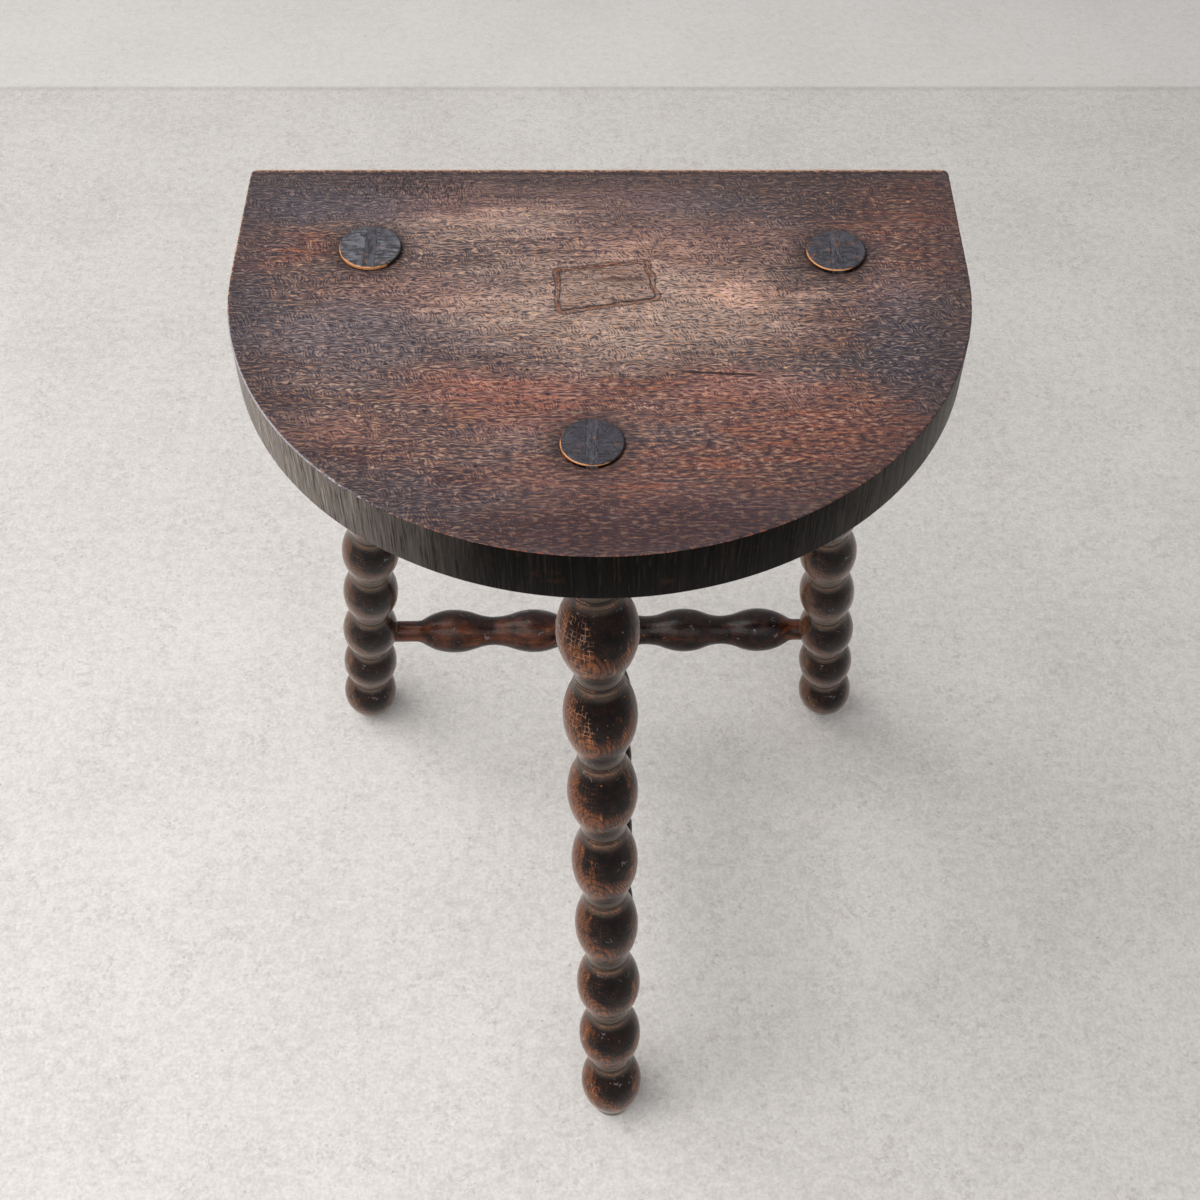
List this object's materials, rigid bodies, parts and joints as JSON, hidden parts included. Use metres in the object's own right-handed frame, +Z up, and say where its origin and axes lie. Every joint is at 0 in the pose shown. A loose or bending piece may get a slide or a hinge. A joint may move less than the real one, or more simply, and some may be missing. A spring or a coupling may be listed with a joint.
{
  "type": "bobbin stool",
  "caption": "Rustic stool: half-round plank seat on splayed bobbin-turned legs with wedged through tenons, braced by turned stretchers in a T.",
  "frame": {"origin": "centre of the stool's bounding box on the floor plane that the feet stand on", "axes": "+Z up from the floor to the seat, +Y toward the straight back edge of the seat, +X to the right seen from the round front"},
  "size_m": [0.318, 0.2936, 0.4791],
  "materials": {
    "seat_wood": "old dark stain worn through to brown on the top, waxed, low sheen",
    "leg_wood": "dark stained turned wood, amber where worn, waxed satin",
    "stretcher_wood": "dark stained turned wood, waxed satin",
    "wedge_wood": "end grain greyed by old stain and wax"
  },
  "bodies": {
    "root": {"seat": "seat_wood", "leg_left": "leg_wood", "leg_right": "leg_wood", "leg_front": "leg_wood", "wedge_left": "wedge_wood", "wedge_right": "wedge_wood", "wedge_front": "wedge_wood", "cross_stretcher": "stretcher_wood", "middle_stretcher": "stretcher_wood"}
  },
  "joints": []
}
